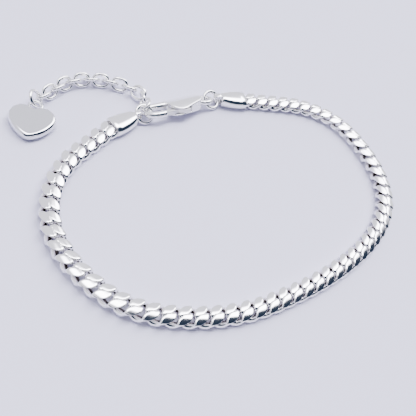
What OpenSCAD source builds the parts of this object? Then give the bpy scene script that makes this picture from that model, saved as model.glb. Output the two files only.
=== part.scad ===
// Link bracelet lying closed on a table: a flat curb chain between two end caps, a lobster clasp,
// two jump rings, a short extender chain and a heart tag. Millimetres, +Z up, the table at z = 0.

/* [Curb chain] */
// Spacing of neighbouring curb links along the chain
link_pitch = 2.4; // [2.38:0.01:2.5]
// Width of the chain across its flat
chain_w = 3.5; // [3.4:0.05:3.8]
// Thickness of the chain
chain_t = 2.0; // [1.9:0.05:2.3]
// Width of a link's wire at the link's two ends
end_wire = 0.75; // [0.65:0.05:0.8]
// Open width of a link's eye across the chain
eye_w = 0.8; // [0.8:0.05:1]
// Thickness of a link's flattened wire
wire_t = 0.8; // [0.65:0.05:0.85]
// Free room left between a link and the next but one
end_gap = 0.3; // [0.2:0.05:0.4]
// Share of the thickness that the filed crown falls at the chain's edges
crown_drop = 0.25; // [0:0.05:0.35]

/* [End caps] */
// Width of an end cap at its mouth
cap_w = 3.8; // [3.6:0.1:4.4]
// Height of an end cap
cap_h = 2.2; // [2.1:0.1:2.6]
// Length of a cap from its mouth to the middle of its eye
cap_reach = 5.6; // [5:0.1:7]
// Length of a cap's straight part behind its mouth
cap_straight = 1.2; // [0.8:0.1:2]
// Width of the cap's nose where the eye starts
nose_w = 2.6; // [2:0.1:3]
// Thickness of the cap's upright eye
cap_eye_t = 1; // [0.8:0.1:1.2]
// Outer diameter of the cap's eye
cap_eye_d = 2.4; // [2.2:0.1:2.8]

/* [Jump rings] */
// Outer diameter of a jump ring
jump_d = 3.86; // [3.7:0.02:4.3]
// Wire diameter of a jump ring
jump_wire = 0.66; // [0.55:0.02:0.7]
// Lean of the jump rings from flat, outer side up
jump_lean = 32; // [28:1:34]

/* [Clasp] */
// Length of the clasp from the ring in its hook to the middle of its tail eye
clasp_reach = 11.3; // [10.8:0.1:13]
// Thickness of the clasp's body at its middle
clasp_t = 2.2; // [1.9:0.1:2.4]
// Fall of the clasp body's crowned faces from its middle to its edges
clasp_crown = 0.6; // [0.4:0.05:0.7]
// Largest radius of the body's outline
belly_r = 2.25; // [2.1:0.05:2.35]
// Radius of the body's outline where it ends before the tail eye
neck_r = 1.5; // [1.2:0.1:1.6]
// Wire diameter of the hook's nose
hook_wire = 0.88; // [0.8:0.02:0.9]
// Radius of the hook's round nose at the middle of its wire
hook_r = 1.5; // [1.45:0.05:1.7]
// Diameter of the hook's arm where it runs into the body
arm_d = 1.5; // [1.3:0.05:1.6]
// Outer diameter of the tail eye
tail_eye_d = 3.1; // [2.9:0.1:3.5]
// Wire diameter of the tail eye
tail_wire = 0.76; // [0.6:0.02:0.8]
// Lean of the clasp from flat, inner side up
clasp_lean = 25; // [20:1:27]
// Height of the tail eye's middle above that of the hook
clasp_rise = 0.3; // [0.2:0.05:0.5]
// Thickness of the sprung lever
lever_t = 0.8; // [0.6:0.05:0.9]
// Width of the lever round its rivet
lever_boss_d = 1.7; // [1.5:0.1:1.8]
// Width of the lever's tip
lever_tip_d = 0.9; // [0.7:0.05:1]
// Diameter of the lever's rivet
rivet_d = 0.8; // [0.6:0.05:0.9]
// Swing of the lever from shut to open
lever_swing = 20; // [15:1:24]

/* [Extender] */
// Outer length of an extender link
ext_len = 3.3; // [3.2:0.05:3.8]
// Outer width of an extender link
ext_w = 2.7; // [2.5:0.05:2.9]
// Wire diameter of the extender links
ext_wire = 0.6; // [0.5:0.02:0.64]
// Outer diameter of the ring that carries the heart
heart_ring_d = 3.5; // [3.3:0.05:3.8]

/* [Heart tag] */
// Radius of the heart's two lobes
lobe_r = 2.35; // [2.2:0.05:2.5]
// Distance between the middles of the lobes
lobe_gap = 3; // [2.8:0.05:3.2]
// Distance from the line of the lobes down to the middle of the tip's round
heart_drop = 2.35; // [2.2:0.05:2.6]
// Radius of the heart's blunt tip
tip_r = 1.9; // [1.7:0.05:2.1]
// Thickness of the heart
heart_t = 1.5; // [1.2:0.1:1.7]
// Tilt of the heart, whose loop rests on the ring below it
heart_tilt = 4; // [3:0.5:6]
// Outer diameter of the loop soldered in the heart's notch
heart_loop_d = 2.7; // [2.6:0.05:3]
// How deep the loop sits in the notch between the lobes
heart_loop_sink = 0.2; // [0.15:0.05:0.3]

/* [Fit] */
// Clear room between a ring or link and what it hangs in
hang_clear = 0.1; // [0.1:0.01:0.15]
// Radial room between the rivet and the lever
rivet_clear = 0.06; // [0.03:0.01:0.08]
// Room on each side of the lever in its slot
slot_clear = 0.1; // [0.08:0.01:0.15]

/* [Hidden] */

silver = "#e6e6e8";
silver_soft = "#d6d6da";
round_fn = 48;
wire_fn = 24;
link_sides = 14;
wire_sides = 6;
cut = 10;
skin = 0.02;

// Where the pieces lie on the table, as round points
RING_LEFT_AT = [-15.2, 5.4];
RING_LEFT_HEAD = 59;
CAP_LEFT_HEAD = 66;
CLASP_HEAD = 53;
RING_RIGHT_HEAD = 50;
CAP_RIGHT_HEAD = 38;
// Middle line of the curb chain between its caps, counter-clockwise from the left one
CHAIN_ROUTE = [
    [-19.5, -6.4], [-20.4, -11], [-20.2, -15.8], [-18.7, -20.3], [-16, -24.1], [-12.2, -26.9], [-7.6, -28.7],
    [-2.6, -29.4], [2.2, -28.7], [7.1, -26.6], [11.8, -23.6], [16.2, -19.7], [20.4, -14.5], [24, -9.4],
    [27.4, -3.4], [30.2, 3.2], [31.6, 9.5], [31.3, 15.2], [28.8, 20.9], [24.2, 25.8], [19, 28.8],
    [14.4, 29.5], [9.7, 28.4], [5.4, 26]];
// The extender's first links climb to the jump ring. Columns: place, height, heading, lean, climb
EXT_START = [
    [[-16.1, 7.05], 1.75, 111, -49, -6],
    [[-17, 8.55], 1.35, 132, 73, -6],
    [[-18.4, 9.4], 1.28, 163, -43, -1]];
// Middle line of the extender's other links, up to the heart's ring
EXT_ROUTE = [
    [-20.3, 9.7], [-22.2, 9.2], [-24.6, 8.3], [-27, 6.7], [-29.1, 4.4], [-30.2, 1.7], [-30.8, -0.8], [-31.4, -3],
    [-31.8, -6]];
// The heart's ring, with the same columns, and the middle of the heart's lobes
HEART_RING_AT = [[-31.4, -3.7], 1.45, -153, -5, 52];
HEART_AT = [-29.7, -7.4];
HEART_HEAD = 111;

// Sizes that follow from the ones above
link_len = 2 * link_pitch - end_gap;
side_wire = (chain_w - eye_w) / 2;
twist = (chain_t - wire_t) / 2 + 0.05;
jump_r = (jump_d - jump_wire) / 2;
cap_eye_z = cap_eye_d / 2;
tail_r = (tail_eye_d - tail_wire) / 2;
ext_lean = 45;
ext_c_len = ext_len - ext_wire;
ext_c_w = ext_w - ext_wire;
ext_z = ext_c_w / 2 * sin(ext_lean) + ext_wire / 2;
ext_taut = ext_c_len - ext_wire - 1.5 * hang_clear;
ext_slack = (ext_c_len + ext_wire + hang_clear) / 2;
heart_ring_r = (heart_ring_d - ext_wire) / 2;
heart_loop_r = (heart_loop_d - ext_wire) / 2;

// Curb link: a round wire ring of link_len by chain_w, twisted by the pull of its neighbours and filed flat
function wire_w(t) = end_wire + (side_wire - end_wire) * abs(sin(2 * t));
function wire_mid(t) = [(link_len - wire_w(t)) / 2 * cos(t), (chain_w - wire_w(t)) / 2 * sin(t), -twist * sin(2 * t)];
function wire_out(t) = let (n = [(chain_w - wire_w(t)) * cos(t), (link_len - wire_w(t)) * sin(t)]) n / norm(n);
function crown(y) = chain_t / 2 * (1 - crown_drop * pow(min(abs(2 * y / chain_w), 1), 2));
function held(v, top) = max(-top, min(top, v));
function wire_point(t, f) = let (
    c = wire_mid(t), n = wire_out(t), u = wire_w(t) / 2 * cos(f),
    y = c.y + n.y * u, z = c.z + wire_t / 2 * sin(f) / cos(180 / wire_sides))
    [c.x + n.x * u, held(y, chain_w / 2), held(z, crown(y))];
LINK_POINTS = [for (i = [0 : link_sides - 1], j = [0 : wire_sides - 1])
    wire_point(i * 360 / link_sides, j * 360 / wire_sides)];
function link_at(i, j) = (i % link_sides) * wire_sides + j % wire_sides;
LINK_FACES = [for (i = [0 : link_sides - 1], j = [0 : wire_sides - 1], f = [
    [link_at(i, j), link_at(i + 1, j + 1), link_at(i + 1, j)],
    [link_at(i, j), link_at(i, j + 1), link_at(i + 1, j + 1)]]) f];
link_z = -min([for (p = LINK_POINTS) p.z]);

// A smooth line through hand-chosen points, and the place at a length along it
function along(a) = [cos(a), sin(a)];
function bend(p, t) = ((2 * p[1]) + (p[2] - p[0]) * t + (2 * p[0] - 5 * p[1] + 4 * p[2] - p[3]) * t * t
    + (3 * p[1] - p[0] - 3 * p[2] + p[3]) * t * t * t) / 2;
bend_steps = 12;
function smooth(pts) = concat(
    [for (i = [1 : len(pts) - 3], k = [0 : bend_steps - 1])
        bend([for (m = [-1 : 2]) pts[i + m]], k / bend_steps)], [pts[len(pts) - 2]]);
function lengths(pts) = [for (i = 0, s = 0; i < len(pts);
    i = i + 1, s = s + (i < len(pts) ? norm(pts[i] - pts[i - 1]) : 0)) s];
function line_of(pts) = let (f = smooth(pts), l = lengths(f)) [
    [for (i = [0 : len(f) - 1]) [l[i], f[i].x]], [for (i = [0 : len(f) - 1]) [l[i], f[i].y]], l[len(l) - 1]];
function place(line, s) = [lookup(s, line[0]), lookup(s, line[1])];
function heading(line, s, step) = let (d = place(line, s + step) - place(line, s - step)) atan2(d.y, d.x);

// The chain of places: cap, ring, clasp, ring, cap, and then the curb chain back again
LEFT_EYE = RING_LEFT_AT - jump_r * along(RING_LEFT_HEAD);
HOOK_SEAT = RING_LEFT_AT + jump_r * along(RING_LEFT_HEAD);
TAIL_EYE = HOOK_SEAT + clasp_reach * along(CLASP_HEAD);
RIGHT_EYE = TAIL_EYE + 2 * jump_r * along(RING_RIGHT_HEAD);
LEFT_MOUTH = LEFT_EYE - cap_reach * along(CAP_LEFT_HEAD);
RIGHT_MOUTH = RIGHT_EYE + cap_reach * along(CAP_RIGHT_HEAD);
mouth_to_link = 0.1;
LEFT_LINK = LEFT_MOUTH - mouth_to_link * along(CAP_LEFT_HEAD);
RIGHT_LINK = RIGHT_MOUTH + mouth_to_link * along(CAP_RIGHT_HEAD);
CHAIN_LINE = line_of(concat([LEFT_LINK + 4 * along(CAP_LEFT_HEAD), LEFT_LINK], CHAIN_ROUTE,
    [RIGHT_LINK, RIGHT_LINK - 4 * along(CAP_RIGHT_HEAD)]));
link_spaces = round(CHAIN_LINE[2] / link_pitch);
link_step = CHAIN_LINE[2] / link_spaces;
EXT_LINE = line_of(concat([EXT_START[2][0]], EXT_ROUTE));
ext_loose = len(EXT_START) + 1;
function ext_s(i) = (i > ext_loose ? ext_taut : 0) + max(i - ext_loose - 1, 0) * ext_slack;

module wire_ring(r, wire) {
    rotate_extrude($fn = round_fn) translate([r, 0]) circle(d = wire, $fn = wire_fn);
}

module wire_bar(a, b, d1, d2) {
    v = b - a;
    translate(a) rotate([0, 0, atan2(v.y, v.x)]) rotate([0, 90, 0])
        cylinder(h = norm(v), d1 = d1, d2 = d2, $fn = wire_fn);
}

// Puts a piece that is drawn along +X at a place, turned to a heading, leaning about its length and climbing
module lay(at, z, head, lean = 0, climb = 0) {
    translate([at.x, at.y, z]) rotate([lean, -climb, head]) children();
}

module curb_link(n) {
    s = n * link_step;
    lay(place(CHAIN_LINE, s), link_z, heading(CHAIN_LINE, s, link_step / 2))
        polyhedron(points = LINK_POINTS, faces = LINK_FACES, convexity = 6);
}

module curb_chain() {
    color(silver) for (n = [1 : link_spaces - 1]) curb_link(n);
}

// Flattened tube drawn with its mouth at x = 0 and its upright eye towards +X
module cap_shell() {
    taper_x = cap_reach - cap_eye_d / 2 + 0.3 - cap_straight;
    taper_y = (cap_w - nose_w) / 2;
    taper_r = (taper_x * taper_x + taper_y * taper_y) / (2 * taper_y);
    linear_extrude(height = cap_h) {
        translate([0, -cap_w / 2]) square([cap_straight, cap_w]);
        intersection() {
            translate([cap_straight, cap_w / 2 - taper_r]) circle(r = taper_r, $fn = 4 * round_fn);
            translate([cap_straight, taper_r - cap_w / 2]) circle(r = taper_r, $fn = 4 * round_fn);
            translate([cap_straight, -cap_w / 2]) square([taper_x, cap_w]);
        }
    }
}

module cap_eye_solid() {
    translate([cap_reach, 0, cap_eye_z]) rotate([90, 0, 0])
        cylinder(h = cap_eye_t, d = cap_eye_d, center = true, $fn = round_fn);
    translate([cap_reach - cap_eye_d, -cap_eye_t / 2, 0]) cube([cap_eye_d, cap_eye_t, cap_h]);
}

module cap_eye_hole() {
    waist_r = jump_wire / 2 + 2.8 * hang_clear;
    flare_r = waist_r + cap_eye_t / 2 * tan(jump_lean) * 1.4;
    translate([cap_reach, 0, cap_eye_z]) for (side = [-90, 90]) rotate([side, 0, 0])
        cylinder(h = cap_eye_t / 2 + 0.01, r1 = waist_r, r2 = flare_r, $fn = round_fn);
}

module end_cap() {
    difference() {
        union() {
            cap_shell();
            cap_eye_solid();
        }
        cap_eye_hole();
    }
}

// Each cap is soldered to the chain's last link
module cap_left() {
    color(silver_soft) {
        lay(LEFT_MOUTH, 0, CAP_LEFT_HEAD) end_cap();
        curb_link(0);
    }
}

module cap_right() {
    color(silver_soft) {
        lay(RIGHT_MOUTH, 0, CAP_RIGHT_HEAD + 180) end_cap();
        curb_link(link_spaces);
    }
}

module jump_ring_left() {
    color(silver) lay(RING_LEFT_AT, cap_eye_z, RING_LEFT_HEAD, jump_lean) wire_ring(jump_r, jump_wire);
}

module jump_ring_right() {
    color(silver) lay(TAIL_EYE + jump_r * along(RING_RIGHT_HEAD), cap_eye_z + clasp_rise / 2, RING_RIGHT_HEAD,
        jump_lean, -asin(clasp_rise / (2 * jump_r))) wire_ring(jump_r, jump_wire);
}

// Clasp, drawn with the ring in its hook at the origin, its tail towards +X and its outer side towards +Y
hook_mid = [hook_r - (jump_wire + hook_wire) / 2 - 2.3 * hang_clear, -0.1];
belly_at = [clasp_reach - 5.8, -0.25];
neck_at = [clasp_reach - 2.5, 0];
pivot_at = [belly_at.x - 0.7, -1.1];
hook_tip = [hook_mid.x + 1.05, hook_mid.y - hook_r - 0.05];
lever_tip = [hook_tip.x + (hook_wire + lever_tip_d) / 2 + 1.3 * hang_clear, hook_tip.y];
knob_at = [pivot_at.x + 1.5, pivot_at.y - 1.35];
knob_d = 0.9;
slot_t = lever_t + 2 * slot_clear;
clasp_climb = asin(clasp_rise / clasp_reach);

module at_clasp() {
    lay(HOOK_SEAT, cap_eye_z, CLASP_HEAD, -clasp_lean, clasp_climb) children();
}

// Outline that wraps two circles
function wrap(a, ra, b, rb) = let (v = b - a, turn = acos((ra - rb) / norm(v)), head = atan2(v.y, v.x)) [
    a + ra * along(head + turn), a + ra * along(head - turn), b + rb * along(head - turn), b + rb * along(head + turn)];

module two_rounds(a, ra, b, rb) {
    translate(a) circle(r = ra, $fn = round_fn);
    translate(b) circle(r = rb, $fn = round_fn);
    polygon(wrap(a, ra, b, rb));
}

// Flat bar along X whose two faces are crowned across Y
module crowned_bar() {
    crown_r = (belly_r * belly_r + clasp_crown * clasp_crown) / (2 * clasp_crown);
    sink = crown_r - clasp_t / 2;
    translate([-cut, belly_at.y, 0]) rotate([90, 0, 90]) linear_extrude(height = clasp_reach + 2 * cut)
        intersection() {
            translate([0, sink]) circle(r = crown_r, $fn = 4 * round_fn);
            translate([0, -sink]) circle(r = crown_r, $fn = 4 * round_fn);
        }
}

module clasp_hook() {
    translate(hook_mid) rotate([0, 0, 90]) rotate_extrude(angle = 180, $fn = round_fn)
        translate([hook_r, 0]) circle(d = hook_wire, $fn = wire_fn);
    wire_bar([hook_mid.x, hook_mid.y + hook_r], [belly_at.x - 1, belly_at.y + belly_r - arm_d / 2], hook_wire, arm_d);
    wire_bar([hook_mid.x, hook_mid.y - hook_r], hook_tip, hook_wire, hook_wire);
    translate(hook_tip) sphere(d = hook_wire, $fn = wire_fn);
}

// Room that the lever sweeps between shut and open, cut through the body's inner side
module lever_slot() {
    roof = pivot_at.y + lever_boss_d / 2 + 2 * slot_clear;
    linear_extrude(height = slot_t, center = true) polygon([
        [pivot_at.x - cut, pivot_at.y - cut], [pivot_at.x - cut, roof + cut * tan(lever_swing)],
        [pivot_at.x, roof], [pivot_at.x + 2.4, pivot_at.y + 0.3], [pivot_at.x + 3, pivot_at.y - cut]]);
}

module clasp_body() {
    color(silver) at_clasp() {
        difference() {
            intersection() {
                crowned_bar();
                union() {
                    translate(belly_at) cylinder(h = cut, r = belly_r, center = true, $fn = round_fn);
                    translate(neck_at) cylinder(h = cut, r = neck_r, center = true, $fn = round_fn);
                    linear_extrude(height = cut, center = true)
                        polygon(wrap(belly_at, belly_r - skin, neck_at, neck_r - skin));
                }
            }
            lever_slot();
        }
        clasp_hook();
        translate(pivot_at) cylinder(h = clasp_t - clasp_crown, d = rivet_d, center = true, $fn = wire_fn);
        translate([clasp_reach, 0]) wire_ring(tail_r, tail_wire);
    }
}

module clasp_lever() {
    color(silver_soft) at_clasp() linear_extrude(height = lever_t, center = true) difference() {
        union() {
            two_rounds(pivot_at, lever_boss_d / 2, lever_tip, lever_tip_d / 2);
            two_rounds(pivot_at, lever_boss_d / 2, knob_at, knob_d / 2);
        }
        translate(pivot_at) circle(d = rivet_d + 2 * rivet_clear, $fn = wire_fn);
    }
}

// Extender link: two round ends and two straight sides of one wire
module oval_link() {
    half = (ext_c_len - ext_c_w) / 2;
    for (side = [0, 180]) rotate([0, 0, side]) {
        translate([half, 0]) rotate([0, 0, -90]) rotate_extrude(angle = 180, $fn = round_fn)
            translate([ext_c_w / 2, 0]) circle(d = ext_wire, $fn = wire_fn);
        wire_bar([-half, ext_c_w / 2], [half, ext_c_w / 2], ext_wire, ext_wire);
    }
}

module lay_row(row) {
    lay(row[0], row[1], row[2], row[3], row[4]) children();
}

module ext_link(i) {
    s = ext_s(i);
    color(silver) lay_row(i < ext_loose ? EXT_START[i - 1] :
        [place(EXT_LINE, s), ext_z, heading(EXT_LINE, s, ext_slack / 2), i % 2 == 0 ? ext_lean : -ext_lean, 0])
        oval_link();
}

module heart_ring() {
    color(silver) lay_row(HEART_RING_AT) wire_ring(heart_ring_r, ext_wire);
}

// Heart: a plate with a round rim, whose two lobes and blunt tip are joined by straight sides
module heart_round(at, r, more) {
    translate([at.x, at.y, heart_t / 2]) {
        rotate_extrude($fn = round_fn) translate([r - heart_t / 2, 0]) circle(d = heart_t + 2 * more, $fn = wire_fn);
        cylinder(h = heart_t + 2 * more, r = r - heart_t / 2, center = true, $fn = round_fn);
    }
}

module heart_side(side) {
    a = [side * lobe_gap / 2, 0];
    b = [0, -heart_drop];
    v = b - a;
    out = along(atan2(v.y, v.x) + side * acos((lobe_r - tip_r) / norm(v)));
    pa = a + (lobe_r - heart_t / 2) * out;
    pb = b + (tip_r - heart_t / 2) * out;
    heart_round(a, lobe_r, 0);
    linear_extrude(height = heart_t) polygon([a, pa, pb, b, [0, 0]]);
    translate([0, 0, heart_t / 2]) wire_bar(pa, pb, heart_t, heart_t);
}

module heart_tag() {
    loop_y = sqrt(pow(lobe_r, 2) - pow(lobe_gap / 2, 2)) + heart_loop_r - heart_loop_sink;
    tip_lift = (heart_drop + tip_r - heart_t / 2) * sin(heart_tilt) + heart_t / 2 * (1 - cos(heart_tilt)) + skin;
    color(silver) lay(HEART_AT, tip_lift, HEART_HEAD - 90, heart_tilt) {
        heart_side(-1);
        heart_side(1);
        heart_round([0, -heart_drop], tip_r, skin);
        translate([0, loop_y, heart_t / 2]) wire_ring(heart_loop_r, ext_wire);
    }
}

curb_chain();
cap_left();
cap_right();
jump_ring_left();
jump_ring_right();
clasp_body();
clasp_lever();
ext_link(1);  // ext_link_1
ext_link(2);  // ext_link_2
ext_link(3);  // ext_link_3
ext_link(4);  // ext_link_4
ext_link(5);  // ext_link_5
ext_link(6);  // ext_link_6
ext_link(7);  // ext_link_7
ext_link(8);  // ext_link_8
ext_link(9);  // ext_link_9
ext_link(10);  // ext_link_10
ext_link(11);  // ext_link_11
ext_link(12);  // ext_link_12
ext_link(13);  // ext_link_13
ext_link(14);  // ext_link_14
heart_ring();
heart_tag();
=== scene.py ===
import math

import bmesh
import bpy
from mathutils import Matrix, Vector


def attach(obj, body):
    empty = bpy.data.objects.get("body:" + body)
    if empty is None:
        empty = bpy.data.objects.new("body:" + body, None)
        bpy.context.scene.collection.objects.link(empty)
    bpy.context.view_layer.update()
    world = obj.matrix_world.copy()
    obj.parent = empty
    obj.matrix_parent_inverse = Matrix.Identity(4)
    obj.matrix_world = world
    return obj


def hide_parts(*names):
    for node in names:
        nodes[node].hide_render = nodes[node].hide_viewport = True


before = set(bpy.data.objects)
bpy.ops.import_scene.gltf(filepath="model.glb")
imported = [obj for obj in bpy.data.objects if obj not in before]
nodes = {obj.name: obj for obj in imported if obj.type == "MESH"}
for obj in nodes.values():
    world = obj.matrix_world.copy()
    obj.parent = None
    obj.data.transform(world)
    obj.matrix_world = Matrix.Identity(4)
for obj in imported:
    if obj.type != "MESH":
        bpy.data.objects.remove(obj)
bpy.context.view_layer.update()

# Camera: the photographer stands at the front of the bracelet and looks half down at it, with the camera
# rolled. Sizes in this file are in millimetres, apart from the table's side, and MM turns them into metres.
MM = 0.001
PICTURE_SIDE = 416
FOCAL_PIXELS = 579.73
CAMERA_AT_MM = Vector((2.6, -67.8, 74.25))
LOOK_DOWN = math.radians(50.178)
CAMERA_ROLL = math.radians(-27.929)
SENSOR_MM = 36

camera_data = bpy.data.cameras.new("photo_camera")
camera_data.sensor_width = SENSOR_MM
camera_data.lens = FOCAL_PIXELS / PICTURE_SIDE * SENSOR_MM
camera_data.clip_start = 1 * MM
camera = bpy.data.objects.new("photo_camera", camera_data)
bpy.context.scene.collection.objects.link(camera)
level = Vector((1, 0, 0))
steep = Vector((0, math.sin(LOOK_DOWN), math.cos(LOOK_DOWN)))
camera_right = level * math.cos(CAMERA_ROLL) - steep * math.sin(CAMERA_ROLL)
camera_up = level * math.sin(CAMERA_ROLL) + steep * math.cos(CAMERA_ROLL)
camera.matrix_world = (Matrix.Translation(CAMERA_AT_MM * MM)
                       @ Matrix((camera_right, camera_up, camera_right.cross(camera_up))).transposed().to_4x4())
bpy.context.scene.camera = camera


# Table and light: a pale matt table in a pale room, lit by three soft windows above and behind the bracelet. The
# photographer and the room's dark sides show only as the blue-black parts of the silver's reflections.
TABLE_SIDE = 3.0
TABLE_COLOUR = (0.79, 0.775, 0.95, 1)
TABLE_ROUGHNESS = 0.7
TABLE_SPECULAR = 0.2
ROOM_LIGHT = 2.18
ROOM_COLOUR = (0.67, 0.67, 0.77, 1)
SHADE_COLOUR = (0.010, 0.018, 0.035, 1)
WINDOW_COLOUR = (6.6, 6.6, 7.2, 1)
# Each part of the room: its colour, its direction, and the degrees from there to where it starts to fade and ends.
ROOM_PARTS = (
    (WINDOW_COLOUR, (0.2, 0.45, 0.87), 10, 22),
    (WINDOW_COLOUR, (0.22, 0.76, 0.61), 6, 14),
    (WINDOW_COLOUR, (-0.15, 0.1, 0.98), 8, 18),
    (SHADE_COLOUR, (0.35, -0.12, 0.93), 20, 26),
    (SHADE_COLOUR, (0.6, -0.35, 0.72), 24, 34),
    (SHADE_COLOUR, (0, -0.85, 0.5), 22, 34),
    (SHADE_COLOUR, (0.95, 0.15, 0.3), 20, 28),
    (SHADE_COLOUR, (0.74, 0.3, 0.6), 20, 28))


def new_material(name):
    """A node material, its tree and its Principled shader."""
    material = bpy.data.materials.new(name)
    material.use_nodes = True
    return material, material.node_tree, material.node_tree.nodes["Principled BSDF"]


def new_piece(name, mesh):
    """A mesh as an object at the origin, in the scene."""
    piece = bpy.data.objects.new(name, mesh)
    bpy.context.scene.collection.objects.link(piece)
    return piece


half = TABLE_SIDE / 2
table_mesh = bpy.data.meshes.new("table")
table_mesh.from_pydata([(-half, -half, 0), (half, -half, 0), (half, half, 0), (-half, half, 0)], [],
                       [(0, 1, 2, 3)])
table = new_piece("table", table_mesh)
table_paint, table_tree, table_shader = new_material("table_white")
table_shader.inputs["Base Color"].default_value = TABLE_COLOUR
table_shader.inputs["Roughness"].default_value = TABLE_ROUGHNESS
table_shader.inputs["Specular IOR Level"].default_value = TABLE_SPECULAR
table_mesh.materials.append(table_paint)

world = bpy.data.worlds.new("white_room")
world.use_nodes = True
bpy.context.scene.world = world
world_tree = world.node_tree
toward = world_tree.nodes.new("ShaderNodeTexCoord").outputs["Generated"]


def room_patch(direction, inner, outer):
    """1 within inner degrees of a direction of the room, falling softly to 0 at outer degrees."""
    along = world_tree.nodes.new("ShaderNodeVectorMath")
    along.operation = "DOT_PRODUCT"
    along.inputs[1].default_value = Vector(direction).normalized()
    world_tree.links.new(toward, along.inputs[0])
    fall = world_tree.nodes.new("ShaderNodeMapRange")
    fall.interpolation_type = "SMOOTHSTEP"
    fall.inputs["From Min"].default_value = math.cos(math.radians(outer))
    fall.inputs["From Max"].default_value = math.cos(math.radians(inner))
    world_tree.links.new(along.outputs["Value"], fall.inputs["Value"])
    return fall.outputs["Result"]


def painted(under, colour, mask):
    """The room's colour so far, with another colour laid over it where mask is 1."""
    mix = world_tree.nodes.new("ShaderNodeMix")
    mix.data_type = "RGBA"
    world_tree.links.new(mask, mix.inputs["Factor"])
    if isinstance(under, tuple):
        mix.inputs["A"].default_value = under
    else:
        world_tree.links.new(under, mix.inputs["A"])
    mix.inputs["B"].default_value = colour
    return mix.outputs["Result"]


room = ROOM_COLOUR
for colour, direction, inner, outer in ROOM_PARTS:
    room = painted(room, colour, room_patch(direction, inner, outer))
seen_directly = world_tree.nodes.new("ShaderNodeLightPath").outputs["Is Camera Ray"]
room = painted(room, ROOM_COLOUR, seen_directly)
background = world_tree.nodes["Background"]
background.inputs["Strength"].default_value = ROOM_LIGHT
world_tree.links.new(room, background.inputs["Color"])


# Curb chain: 58 loose links of polished silver wire. Each is bent to an oval and twisted, so that it lies flat
# through its neighbours, and the finished chain's two faces are filed, which broadens the wire at its bends.
CHAIN_W = 3.5
CHAIN_T = 2.0
LINK_LEN = 4.6
LINK_END_WIRE = 1.05
LINK_PLAN = 1.7
LINK_SIDE_WIRE = 1.3
LINK_WIRE_T = 1.3
LINK_TWIST = 0.8
LOW_AT = math.radians(56)
LOW_SHARE = 0.3
TWIST_SHARPNESS = 0.6
CROWN_DROP = 0.42
# Painted shade: the next four numbers darken the links' hollows and the gaps between links, where the links shade
# each other.
RECESS_SHADE_REACH = 0.55
RECESS_SHADE_EDGE = 1.3
RECESS_SHADE_FADE = 0.5
RECESS_SHADE_COLOUR = (0.42, 0.38, 0.37, 1)
CHAIN_COLOUR = (0.93, 0.92, 0.91, 1)
CHAIN_ROUGHNESS = 0.085
GLOSS_CLOUD_SCALE = 700
GLOSS_CLOUD_DETAIL = 3
HAIRLINE_TURN = (0.3, 0.2, 0.7)
HAIRLINE_STRETCH = (1, 9, 9)
HAIRLINE_SCALE = 1500
HAIRLINE_DETAIL = 2
HAIRLINE_STRENGTH = 0.04
HAIRLINE_DEPTH = 0.01
LINK_AROUND = 64
LINK_WIRE_AROUND = 20
LINK_PLACES = 60
CHAIN_LEAN = math.radians(1.2)
CHAIN_SEED = 5

CAP_LEFT_HEAD = math.radians(66)
CAP_RIGHT_HEAD = math.radians(38)
LEFT_MOUTH = Vector((-18.302, -1.087))
RIGHT_MOUTH = Vector((-1.106, 21.695))
MOUTH_TO_LINK = 0.1
CHAIN_ROUTE = [
    (-19.5, -6.4), (-20.4, -11), (-20.2, -15.8), (-18.7, -20.3), (-16, -24.1), (-12.2, -26.9), (-7.6, -28.7),
    (-2.6, -29.4), (2.2, -28.7), (7.1, -26.6), (11.8, -23.6), (16.2, -19.7), (20.4, -14.5), (24, -9.4),
    (27.4, -3.4), (30.2, 3.2), (31.6, 9.5), (31.3, 15.2), (28.8, 20.9), (24.2, 25.8), (19, 28.8),
    (14.4, 29.5), (9.7, 28.4), (5.4, 26)]
ROUTE_STEPS = 12
ROUTE_LEAD = 4


def heading(angle):
    """The flat direction at an angle from +X."""
    return Vector((math.cos(angle), math.sin(angle)))


def smooth_route(points, steps):
    """A smooth line through all points but the first and the last, with steps places between two of them."""
    line = []
    for p0, p1, p2, p3 in zip(points, points[1:], points[2:], points[3:]):
        for k in range(steps):
            t = k / steps
            line.append((2 * p1 + (p2 - p0) * t + (2 * p0 - 5 * p1 + 4 * p2 - p3) * t ** 2
                         + (3 * p1 - p0 - 3 * p2 + p3) * t ** 3) / 2)
    return line + [points[-2]]


def soft_limit(value, limit, hardness=10):
    """The value, held between -limit and limit with a rounded shoulder."""
    return value / (1 + abs(value / limit) ** hardness) ** (1 / hardness)


def loft(name, loops, closed=True):
    """A smooth mesh through loops of points, where each loop has the same number of points."""
    around = len(loops[0])
    rows = len(loops) if closed else len(loops) - 1
    faces = []
    for i in range(rows):
        for j in range(around):
            a, b = i * around, (i + 1) % len(loops) * around
            faces.append((a + j, b + j, b + (j + 1) % around, a + (j + 1) % around))
    mesh = bpy.data.meshes.new(name)
    mesh.from_pydata([p for loop in loops for p in loop], [], faces)
    mesh.shade_smooth()
    return mesh


def bent(value, power):
    """The value's size raised to a power, with the value's sign."""
    return math.copysign(abs(value) ** power, value)


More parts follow.
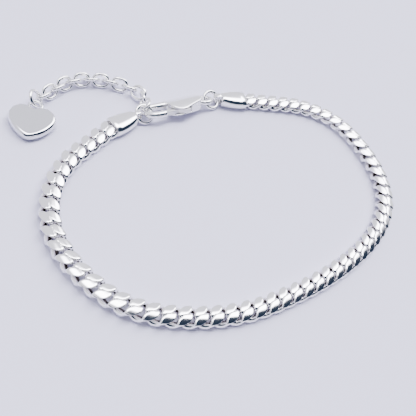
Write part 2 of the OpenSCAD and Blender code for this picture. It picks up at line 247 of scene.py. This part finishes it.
def curb_link_loops():
    """Loops of wire round a curb link, whose flats are its two filed faces."""
    loops = []
    for i in range(LINK_AROUND):
        t = 2 * math.pi * i / LINK_AROUND
        twist = math.cos(2 * (t - LOW_AT)) - LOW_SHARE
        wire = LINK_END_WIRE + (LINK_SIDE_WIRE - LINK_END_WIRE) * abs(math.sin(2 * t))
        half_len = (LINK_LEN - wire) / 2
        half_w = (CHAIN_W - wire) / 2
        c, d = bent(math.cos(t), 2 / LINK_PLAN), bent(math.sin(t), 2 / LINK_PLAN)
        middle = Vector((half_len * c, half_w * d, -LINK_TWIST * bent(twist, TWIST_SHARPNESS)))
        outward = Vector((half_w * bent(c, LINK_PLAN - 1), half_len * bent(d, LINK_PLAN - 1), 0)).normalized()
        loop = []
        for j in range(LINK_WIRE_AROUND):
            f = 2 * math.pi * j / LINK_WIRE_AROUND
            p = middle + outward * (wire / 2 * math.cos(f)) + Vector((0, 0, LINK_WIRE_T / 2 * math.sin(f)))
            edge = min(abs(2 * p.y / CHAIN_W), 1)
            p.z = soft_limit(p.z, CHAIN_T / 2 * (1 - CROWN_DROP * edge ** 2))
            p.y = soft_limit(p.y, CHAIN_W / 2)
            loop.append(p * MM)
        loops.append(loop)
    return loops


def polished_silver(name, colour, roughness, wear=0.05):
    """Polished silver: a soft change of gloss from handling, and hairline scratches from wear."""
    material, tree, shader = new_material(name)
    shader.inputs["Metallic"].default_value = 1
    shader.inputs["Base Color"].default_value = colour
    place = tree.nodes.new("ShaderNodeTexCoord").outputs["Object"]
    clouds = tree.nodes.new("ShaderNodeTexNoise")
    clouds.inputs["Scale"].default_value = GLOSS_CLOUD_SCALE
    clouds.inputs["Detail"].default_value = GLOSS_CLOUD_DETAIL
    tree.links.new(place, clouds.inputs["Vector"])
    gloss = tree.nodes.new("ShaderNodeMapRange")
    gloss.inputs["To Min"].default_value = roughness
    gloss.inputs["To Max"].default_value = roughness + wear
    tree.links.new(clouds.outputs["Fac"], gloss.inputs["Value"])
    tree.links.new(gloss.outputs["Result"], shader.inputs["Roughness"])
    stretch = tree.nodes.new("ShaderNodeMapping")
    stretch.inputs["Rotation"].default_value = HAIRLINE_TURN
    stretch.inputs["Scale"].default_value = HAIRLINE_STRETCH
    tree.links.new(place, stretch.inputs["Vector"])
    hairlines = tree.nodes.new("ShaderNodeTexNoise")
    hairlines.inputs["Scale"].default_value = HAIRLINE_SCALE
    hairlines.inputs["Detail"].default_value = HAIRLINE_DETAIL
    tree.links.new(stretch.outputs["Vector"], hairlines.inputs["Vector"])
    bump = tree.nodes.new("ShaderNodeBump")
    bump.inputs["Strength"].default_value = HAIRLINE_STRENGTH
    bump.inputs["Distance"].default_value = HAIRLINE_DEPTH * MM
    tree.links.new(hairlines.outputs["Fac"], bump.inputs["Height"])
    tree.links.new(bump.outputs["Normal"], shader.inputs["Normal"])
    return material


def paint_recess_shade(material):
    """Darkens silver where the mesh's recess attribute is 1: painted shade in the hollows of the links and between
    them.
    """
    tree = material.node_tree
    depth = tree.nodes.new("ShaderNodeAttribute")
    depth.attribute_name = "recess_shade"
    mix = tree.nodes.new("ShaderNodeMix")
    mix.data_type = "RGBA"
    shader = tree.nodes["Principled BSDF"]
    # Painted shade: the base colour is mixed toward the darker recess colour.
    mix.inputs["A"].default_value = shader.inputs["Base Color"].default_value
    mix.inputs["B"].default_value = RECESS_SHADE_COLOUR
    tree.links.new(depth.outputs["Fac"], mix.inputs["Factor"])
    tree.links.new(mix.outputs["Result"], shader.inputs["Base Color"])


def add_inputs(tree, sockets):
    """Named inputs of a node tree, each with its kind of socket."""
    tree.interface.new_socket("Geometry", in_out="INPUT", socket_type="NodeSocketGeometry")
    for name, kind in sockets:
        tree.interface.new_socket(name, in_out="INPUT", socket_type=kind)
    tree.interface.new_socket("Geometry", in_out="OUTPUT", socket_type="NodeSocketGeometry")


def link_row_tree():
    """Lays a link at each even step along a line, from a first to a last place, each leaning by chance."""
    tree = bpy.data.node_groups.new("link_row", "GeometryNodeTree")
    add_inputs(tree, [("Link", "NodeSocketObject"), ("Places", "NodeSocketInt"), ("First place", "NodeSocketInt"),
                      ("Last place", "NodeSocketInt"), ("Lean", "NodeSocketFloat"), ("Seed", "NodeSocketInt"),
                      ("Metal", "NodeSocketMaterial")])
    make, join = tree.nodes.new, tree.links.new
    given = make("NodeGroupInput").outputs
    line = make("GeometryNodeMeshToCurve")
    join(given["Geometry"], line.inputs["Mesh"])
    spaced = make("GeometryNodeResampleCurve")
    join(line.outputs["Curve"], spaced.inputs["Curve"])
    join(given["Places"], spaced.inputs["Count"])
    index = make("GeometryNodeInputIndex").outputs["Index"]
    from_first = make("FunctionNodeCompare")
    from_first.data_type, from_first.operation = "INT", "GREATER_EQUAL"
    join(index, from_first.inputs["A"])
    join(given["First place"], from_first.inputs["B"])
    to_last = make("FunctionNodeCompare")
    to_last.data_type, to_last.operation = "INT", "LESS_EQUAL"
    join(index, to_last.inputs["A"])
    join(given["Last place"], to_last.inputs["B"])
    chosen = make("FunctionNodeBooleanMath")
    join(from_first.outputs["Result"], chosen.inputs[0])
    join(to_last.outputs["Result"], chosen.inputs[1])
    ahead = make("FunctionNodeAlignRotationToVector")
    ahead.axis, ahead.pivot_axis = "X", "Z"
    join(make("GeometryNodeInputTangent").outputs["Tangent"], ahead.inputs["Vector"])
    least = make("ShaderNodeMath")
    least.operation = "MULTIPLY"
    least.inputs[1].default_value = -1
    join(given["Lean"], least.inputs[0])
    chance = make("FunctionNodeRandomValue")
    join(least.outputs["Value"], chance.inputs[2])
    join(given["Lean"], chance.inputs[3])
    join(given["Seed"], chance.inputs["Seed"])
    lean = make("ShaderNodeCombineXYZ")
    join(chance.outputs[1], lean.inputs["X"])
    turn = make("FunctionNodeEulerToRotation")
    join(lean.outputs["Vector"], turn.inputs["Euler"])
    leaned = make("FunctionNodeRotateRotation")
    leaned.rotation_space = "LOCAL"
    join(ahead.outputs["Rotation"], leaned.inputs["Rotation"])
    join(turn.outputs["Rotation"], leaned.inputs["Rotate By"])
    shape = make("GeometryNodeObjectInfo")
    join(given["Link"], shape.inputs["Object"])
    laid = make("GeometryNodeInstanceOnPoints")
    join(spaced.outputs["Curve"], laid.inputs["Points"])
    join(chosen.outputs["Boolean"], laid.inputs["Selection"])
    join(shape.outputs["Geometry"], laid.inputs["Instance"])
    join(leaned.outputs["Rotation"], laid.inputs["Rotation"])
    solid = make("GeometryNodeRealizeInstances")
    join(laid.outputs["Instances"], solid.inputs["Geometry"])
    metal = make("GeometryNodeSetMaterial")
    join(solid.outputs["Geometry"], metal.inputs["Geometry"])
    join(given["Metal"], metal.inputs["Material"])
    join(metal.outputs["Geometry"], make("NodeGroupOutput").inputs["Geometry"])
    return tree


def grown(name, line, tree, values):
    """The plain mesh that a node tree makes on a line's object."""
    modifier = line.modifiers.new("grow", "NODES")
    modifier.node_group = tree
    for item in tree.interface.items_tree:
        if item.name in values:
            modifier[item.identifier] = values[item.name]
    depsgraph = bpy.context.evaluated_depsgraph_get()
    mesh = bpy.data.meshes.new_from_object(line.evaluated_get(depsgraph), depsgraph=depsgraph)
    mesh.name = name
    line.modifiers.remove(modifier)
    return mesh


left_link = LEFT_MOUTH - MOUTH_TO_LINK * heading(CAP_LEFT_HEAD)
right_link = RIGHT_MOUTH + MOUTH_TO_LINK * heading(CAP_RIGHT_HEAD)
chain_points = [left_link + ROUTE_LEAD * heading(CAP_LEFT_HEAD), left_link]
chain_points += [Vector(p) for p in CHAIN_ROUTE]
chain_points += [right_link, right_link - ROUTE_LEAD * heading(CAP_RIGHT_HEAD)]
chain_line = smooth_route(chain_points, ROUTE_STEPS)
line_mesh = bpy.data.meshes.new("chain_line")
line_mesh.from_pydata([(p.x * MM, p.y * MM, CHAIN_T / 2 * MM) for p in chain_line],
                      [(i, i + 1) for i in range(len(chain_line) - 1)], [])
chain_path = new_piece("chain_line", line_mesh)
link_mesh = loft("curb_link", curb_link_loops())
# Painted shade: each point's share of the darker recess colour, most at the wire's middle height near the chain's
# middle line.
recess_shade = link_mesh.attributes.new("recess_shade", "FLOAT", "POINT")
for vertex in link_mesh.vertices:
    depth = 1 - abs(vertex.co.z) / MM / RECESS_SHADE_REACH
    inwards = (RECESS_SHADE_EDGE - abs(vertex.co.y) / MM) / RECESS_SHADE_FADE
    recess_shade.data[vertex.index].value = min(max(0, depth), max(0, inwards), 1)
link_pattern = new_piece("curb_link", link_mesh)
chain_silver = polished_silver("chain_silver", CHAIN_COLOUR, CHAIN_ROUGHNESS)
# Painted shade: the chain's silver is darker in its recesses.
paint_recess_shade(chain_silver)
link_row = link_row_tree()
row_inputs = {"Link": link_pattern, "Places": LINK_PLACES, "Lean": CHAIN_LEAN, "Seed": CHAIN_SEED}
curb_chain = new_piece("curb_chain_links", grown("curb_chain_links", chain_path, link_row, {
    **row_inputs, "First place": 1, "Last place": LINK_PLACES - 2, "Metal": chain_silver}))
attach(curb_chain, "root")
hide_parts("curb_chain")


# End caps: a strip of silver sheet is folded to a flat tube, tapered to a nose with an upright eye, and its
# open mouth is closed on the chain's last link and soldered.
CAP_W = 3.8
CAP_H = 2.2
CAP_REACH = 5.6
CAP_STRAIGHT = 1.2
CAP_NOSE_W = 2.6
CAP_ROUNDNESS = 0.75
CAP_LIP = 0.12
CAP_NOSE_SINK = 0.3
CAP_NOSE_ROUND = 0.5
CAP_NOSE_ANGLES = (0.4, 0.8, 1.2, 1.5)
CAP_WALL = 0.4
CAP_MOUTH_DEPTH = 0.9
CAP_MOUTH_EDGE = 0.06
CAP_MOUTH_STEP = 0.05
CAP_EYE_D = 2.4
CAP_EYE_T = 1.0
CAP_EYE_HOLE_D = 1.25
CAP_EYE_ROUNDNESS = 0.55
CAP_ARC_STEPS = 10
CAP_AROUND = 48
CAP_EYE_AROUND = 48
CAP_EYE_WALL_AROUND = 24
CAP_COLOUR = (0.92, 0.91, 0.90, 1)
CAP_ROUGHNESS = 0.10


def placed(at, z, head, lean=0.0, climb=0.0):
    """Puts a shape drawn along +X at a place, turned to a heading, leaning about its length and climbing."""
    turn = Matrix.Rotation(head, 4, "Z") @ Matrix.Rotation(-climb, 4, "Y") @ Matrix.Rotation(lean, 4, "X")
    return Matrix.Translation((at[0] * MM, at[1] * MM, z * MM)) @ turn @ Matrix.Scale(MM, 4)


def joined(name, meshes):
    """One mesh of several."""
    work = bmesh.new()
    for mesh in meshes:
        work.from_mesh(mesh)
    result = bpy.data.meshes.new(name)
    work.to_mesh(result)
    work.free()
    return result


def cap_shell():
    """The flat tube of a cap: a recessed mouth, straight sides, then sides that curve in to the blunt nose."""
    nose_x = CAP_REACH - CAP_EYE_D / 2 + CAP_NOSE_SINK
    taper_x = nose_x - CAP_STRAIGHT
    taper_y = (CAP_W - CAP_NOSE_W) / 2
    taper_r = (taper_x ** 2 + taper_y ** 2) / (2 * taper_y)
    sections = [(CAP_MOUTH_DEPTH, CAP_WALL), (CAP_MOUTH_STEP, CAP_WALL), (0, CAP_WALL - CAP_MOUTH_EDGE),
                (0, CAP_LIP), (CAP_LIP, 0)]
    sections += [(CAP_STRAIGHT + taper_x * i / CAP_ARC_STEPS, 0) for i in range(CAP_ARC_STEPS + 1)]
    sections += [(nose_x + CAP_NOSE_ROUND * math.sin(a), CAP_NOSE_ROUND * (1 - math.cos(a)))
                 for a in CAP_NOSE_ANGLES]
    loops = []
    for x, inset in sections:
        bend = max(0, min(x, nose_x) - CAP_STRAIGHT)
        half_w = CAP_W / 2 - taper_r + math.sqrt(taper_r ** 2 - bend ** 2) - inset
        half_h = CAP_H / 2 - inset
        loop = []
        for j in range(CAP_AROUND):
            f = 2 * math.pi * j / CAP_AROUND
            loop.append(Vector((x, half_w * bent(math.cos(f), CAP_ROUNDNESS),
                                CAP_H / 2 + half_h * bent(math.sin(f), CAP_ROUNDNESS))))
        loops.append(loop)
    return capped(loft("cap_shell", loops, closed=False))


def capped(mesh):
    """A mesh whose open ends are closed with a face."""
    work = bmesh.new()
    work.from_mesh(mesh)
    bmesh.ops.holes_fill(work, edges=[e for e in work.edges if e.is_boundary], sides=0)
    bmesh.ops.recalc_face_normals(work, faces=work.faces)
    work.to_mesh(mesh)
    work.free()
    return mesh


def cap_eye():
    """The upright eye: a thick washer with round edges, standing across the cap's end."""
    outer, inner = CAP_EYE_D / 2, CAP_EYE_HOLE_D / 2
    middle, half_wall = (outer + inner) / 2, (outer - inner) / 2
    loops = []
    for i in range(CAP_EYE_AROUND):
        t = 2 * math.pi * i / CAP_EYE_AROUND
        loop = []
        for j in range(CAP_EYE_WALL_AROUND):
            f = 2 * math.pi * j / CAP_EYE_WALL_AROUND
            r = middle + half_wall * bent(math.cos(f), CAP_EYE_ROUNDNESS)
            loop.append(Vector((CAP_REACH + r * math.cos(t), CAP_EYE_T / 2 * bent(math.sin(f), CAP_EYE_ROUNDNESS),
                                CAP_EYE_D / 2 + r * math.sin(t))))
        loops.append(loop)
    return loft("cap_eye", loops)


cap_silver = polished_silver("cap_silver", CAP_COLOUR, CAP_ROUGHNESS)
for side, mouth_at, head, place in (("left", LEFT_MOUTH, CAP_LEFT_HEAD, 0),
                                    ("right", RIGHT_MOUTH, CAP_RIGHT_HEAD + math.pi, LINK_PLACES - 1)):
    tube = joined("cap_tube", [cap_shell(), cap_eye()])
    tube.transform(placed(mouth_at, 0, head))
    tube.shade_smooth()
    end_link = grown("end_link", chain_path, link_row, {
        **row_inputs, "First place": place, "Last place": place, "Metal": cap_silver})
    cap_mesh = joined(f"cap_{side}_tube", [tube, end_link])
    cap_mesh.materials.append(cap_silver)
    cap = new_piece(f"cap_{side}_tube", cap_mesh)
    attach(cap, "root")
    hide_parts(f"cap_{side}")
bpy.data.objects.remove(link_pattern)
bpy.data.objects.remove(chain_path)


# Jump rings and the heart's ring: round silver wire wound on a rod, cut, closed and soldered. They are polished
# like the chain, and keep their solids' shape.
RING_COLOUR = (0.94, 0.93, 0.92, 1)
RING_ROUGHNESS = 0.06
ring_silver = polished_silver("ring_silver", RING_COLOUR, RING_ROUGHNESS)
for name in ("jump_ring_left", "jump_ring_right", "heart_ring"):
    nodes[name].material_slots[0].material = ring_silver


# Lobster clasp: cast in silver in one piece with its hook and tail eye, tumbled until every edge is round, which
# leaves it a little duller than the links. The lever is a stamped plate, riveted in the slot of the body.
CLASP_AT = (-14.376, 6.7715)
CLASP_Z = 1.2
CLASP_HEAD = math.radians(53)
CLASP_LEAN = math.radians(-25)
CLASP_RISE = 0.3
CLASP_REACH = 11.3
CLASP_CLIMB = math.asin(CLASP_RISE / CLASP_REACH)
CLASP_COLOUR = (0.93, 0.92, 0.91, 1)
CLASP_ROUGHNESS = 0.22
CLASP_VOXEL = 0.05
CLASP_SMOOTHING = 20
CLASP_SWELL = 0.1
HOOK_SWELL = 0.28
HOOK_MIDDLE = Vector((0.5, -0.1))
HOOK_ENDS = (2.5, 4.5)
LEVER_COLOUR = (0.90, 0.89, 0.88, 1)
LEVER_ROUGHNESS = 0.34
LEVER_VOXEL = 0.04
LEVER_SMOOTHING = 4
MERGE_WITHIN = 0.001


def finished(name, mesh, modifiers):
    """The plain mesh that is left when modifiers, given as kind and settings, are applied."""
    piece = new_piece(name, mesh)
    for kind, settings in modifiers:
        modifier = piece.modifiers.new(kind.lower(), kind)
        for key, value in settings.items():
            setattr(modifier, key, value)
    depsgraph = bpy.context.evaluated_depsgraph_get()
    result = bpy.data.meshes.new_from_object(piece.evaluated_get(depsgraph), depsgraph=depsgraph)
    bpy.data.objects.remove(piece)
    result.name = name
    return result


def tumbled(name, node, at, voxel, passes, swell=None):
    """A node's solid with tumbled edges, kept above the table. Swell gives its growth at a place and normal."""
    mesh = nodes[node].data.copy()
    mesh.transform(at.inverted())
    work = bmesh.new()
    work.from_mesh(mesh)
    bmesh.ops.remove_doubles(work, verts=work.verts, dist=MERGE_WITHIN)
    work.to_mesh(mesh)
    work.free()
    mesh.materials.clear()
    result = finished(name, mesh, [
        ("REMESH", {"mode": "VOXEL", "voxel_size": voxel, "use_smooth_shade": True}),
        ("SMOOTH", {"factor": 0.5, "iterations": passes})])
    if swell:
        grown_places = [v.co + v.normal * swell(v.co, v.normal) for v in result.vertices]
        for vertex, place in zip(result.vertices, grown_places):
            vertex.co = place
    result.transform(at)
    for vertex in result.vertices:
        vertex.co.z = max(vertex.co.z, 0)
    return result


def clasp_swell(place, normal):
    """How much fuller the casting is than its solid: more on the hook's outer side, and nothing in the slot."""
    from_hook = (place.xy - HOOK_MIDDLE).normalized()
    outer = max(0, 0.5 + 0.5 * from_hook.dot(normal.xy))
    near, far = HOOK_ENDS
    hook = max(0, min(1, (far - place.x) / (far - near)))
    slot_wall = max(0, -math.copysign(1, place.z) * normal.z)
    return (CLASP_SWELL * max(outer, 1 - hook) + HOOK_SWELL * hook * outer) * max(0, 1 - 2 * slot_wall)


clasp_at = placed(CLASP_AT, CLASP_Z, CLASP_HEAD, CLASP_LEAN, CLASP_CLIMB)
clasp_silver = polished_silver("clasp_silver", CLASP_COLOUR, CLASP_ROUGHNESS)
clasp_mesh = tumbled("clasp_body_casting", "clasp_body", clasp_at, CLASP_VOXEL, CLASP_SMOOTHING, clasp_swell)
clasp_mesh.materials.append(clasp_silver)
clasp = new_piece("clasp_body_casting", clasp_mesh)
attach(clasp, "root")
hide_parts("clasp_body")

lever_silver = polished_silver("lever_silver", LEVER_COLOUR, LEVER_ROUGHNESS)
lever_mesh = tumbled("clasp_lever_plate", "clasp_lever", clasp_at, LEVER_VOXEL, LEVER_SMOOTHING)
lever_mesh.materials.append(lever_silver)
lever = new_piece("clasp_lever_plate", lever_mesh)
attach(lever, "lever")
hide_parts("clasp_lever")


# Extender: fourteen oval links of round silver wire, each threaded through the one before and soldered shut.
# They keep their solids' shape.
EXTENDER_LINKS = 14
EXTENDER_COLOUR = (0.94, 0.93, 0.92, 1)
EXTENDER_ROUGHNESS = 0.07
extender_silver = polished_silver("extender_silver", EXTENDER_COLOUR, EXTENDER_ROUGHNESS)
for i in range(1, EXTENDER_LINKS + 1):
    nodes[f"ext_link_{i}"].material_slots[0].material = extender_silver


# Heart tag: a thick silver plate stamped to a heart, its edges rounded and its face mirror polished, with a
# wire loop soldered in the notch.
HEART_AT = (-29.7, -7.4)
HEART_HEAD = math.radians(111)
HEART_T = 1.5
HEART_TILT = math.radians(4)
LOBE_R = 2.35
LOBE_GAP = 3.0
HEART_DROP = 2.8
TIP_R = 1.5
HEART_CROWN = 0.015
HEART_EDGE = 0.62
HEART_SIDE_R = 6.5
HEART_LIFT = 0.27
HEART_LOOP_D = 2.7
HEART_LOOP_SINK = 0.2
HEART_WIRE = 0.6
HEART_MIDDLE = Vector((0, -0.4))
HEART_AROUND = 160
HEART_ROWS = 22
OUTLINE_STEP = 0.01
OUTLINE_BLUR = 2
HEART_RIM_POWER = 2.4
HEART_LOOP_AROUND = 64
HEART_WIRE_AROUND = 20
HEART_COLOUR = (0.78, 0.78, 0.79, 1)
HEART_ROUGHNESS = 0.05
HEART_WEAR = 0.03


def heart_reach(angle):
    """How far the heart's outline lies from its middle in a direction."""
    ahead = heading(angle)
    reach = 0
    while in_heart(HEART_MIDDLE + (reach + OUTLINE_STEP) * ahead):
        reach += OUTLINE_STEP
    return reach


def in_heart(p):
    """Whether a point lies in a lobe, in the tip's round, or inside the bulging side that joins them."""
    x, y = abs(p.x), p.y
    lobe, tip = Vector((LOBE_GAP / 2, 0)), Vector((0, -HEART_DROP))
    if math.hypot(x - lobe.x, y) < LOBE_R or math.hypot(x, y - tip.y) < TIP_R:
        return True
    span = tip - lobe
    long, to_lobe, to_tip = span.length, HEART_SIDE_R - LOBE_R, HEART_SIDE_R - TIP_R
    ahead = (to_lobe ** 2 - to_tip ** 2 + long ** 2) / (2 * long)
    middle = lobe + (span * ahead + Vector((span.y, -span.x)) * math.sqrt(to_lobe ** 2 - ahead ** 2)) / long
    low, high = (math.atan2(q.y - middle.y, q.x - middle.x) for q in (tip, lobe))
    between = low < math.atan2(y - middle.y, x - middle.x) < high
    return between and math.hypot(x - middle.x, y - middle.y) < HEART_SIDE_R


def heart_plate():
    """A plate with a round rim and slightly crowned faces."""
    angles = [2 * math.pi * i / HEART_AROUND for i in range(HEART_AROUND)]
    raw = [heart_reach(a) for a in angles]
    near = range(-OUTLINE_BLUR, OUTLINE_BLUR + 1)
    reach = [sum(raw[(i + k) % HEART_AROUND] for k in near) / len(near) for i in range(HEART_AROUND)]
    outline = [HEART_MIDDLE + r * heading(a) for r, a in zip(reach, angles)]
    loops = []
    for row in range(1, 2 * HEART_ROWS):
        face = 1 if row <= HEART_ROWS else -1
        out = math.sin(math.pi / 2 * (row if face > 0 else 2 * HEART_ROWS - row) / HEART_ROWS)
        loop = []
        for r, a in zip(reach, angles):
            p = HEART_MIDDLE + r * out * heading(a)
            depth = min((p - q).length for q in outline) if out < 1 else 0
            edge = min(depth / HEART_EDGE, 1)
            rim = (1 - (1 - edge) ** HEART_RIM_POWER) ** (1 / HEART_RIM_POWER)
            height = HEART_T / 2 * rim + HEART_CROWN * (1 - out ** 2)
            loop.append(Vector((p.x, p.y, HEART_T / 2 + face * height)))
        loops.append(loop)
    return capped(loft("heart_plate", loops, closed=False))


def wire_loop(name, at, radius, wire):
    """A ring of round wire, lying flat."""
    loops = []
    for i in range(HEART_LOOP_AROUND):
        t = 2 * math.pi * i / HEART_LOOP_AROUND
        loop = []
        for j in range(HEART_WIRE_AROUND):
            f = 2 * math.pi * j / HEART_WIRE_AROUND
            r, z = radius + wire / 2 * math.cos(f), wire / 2 * math.sin(f)
            loop.append(Vector((at.x + r * math.cos(t), at.y + r * math.sin(t), at.z + z)))
        loops.append(loop)
    return loft(name, loops)


heart_silver = polished_silver("heart_silver", HEART_COLOUR, HEART_ROUGHNESS, HEART_WEAR)
loop_radius = (HEART_LOOP_D - HEART_WIRE) / 2
loop_y = math.sqrt(LOBE_R ** 2 - (LOBE_GAP / 2) ** 2) + loop_radius - HEART_LOOP_SINK
heart_mesh = joined("heart_plate", [
    heart_plate(), wire_loop("heart_loop", Vector((0, loop_y, HEART_T / 2)), loop_radius, HEART_WIRE)])
heart_mesh.transform(placed(HEART_AT, HEART_LIFT, HEART_HEAD - math.pi / 2, HEART_TILT))
heart_mesh.shade_smooth()
heart_mesh.materials.append(heart_silver)
heart = new_piece("heart_plate", heart_mesh)
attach(heart, "root")
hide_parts("heart_tag")
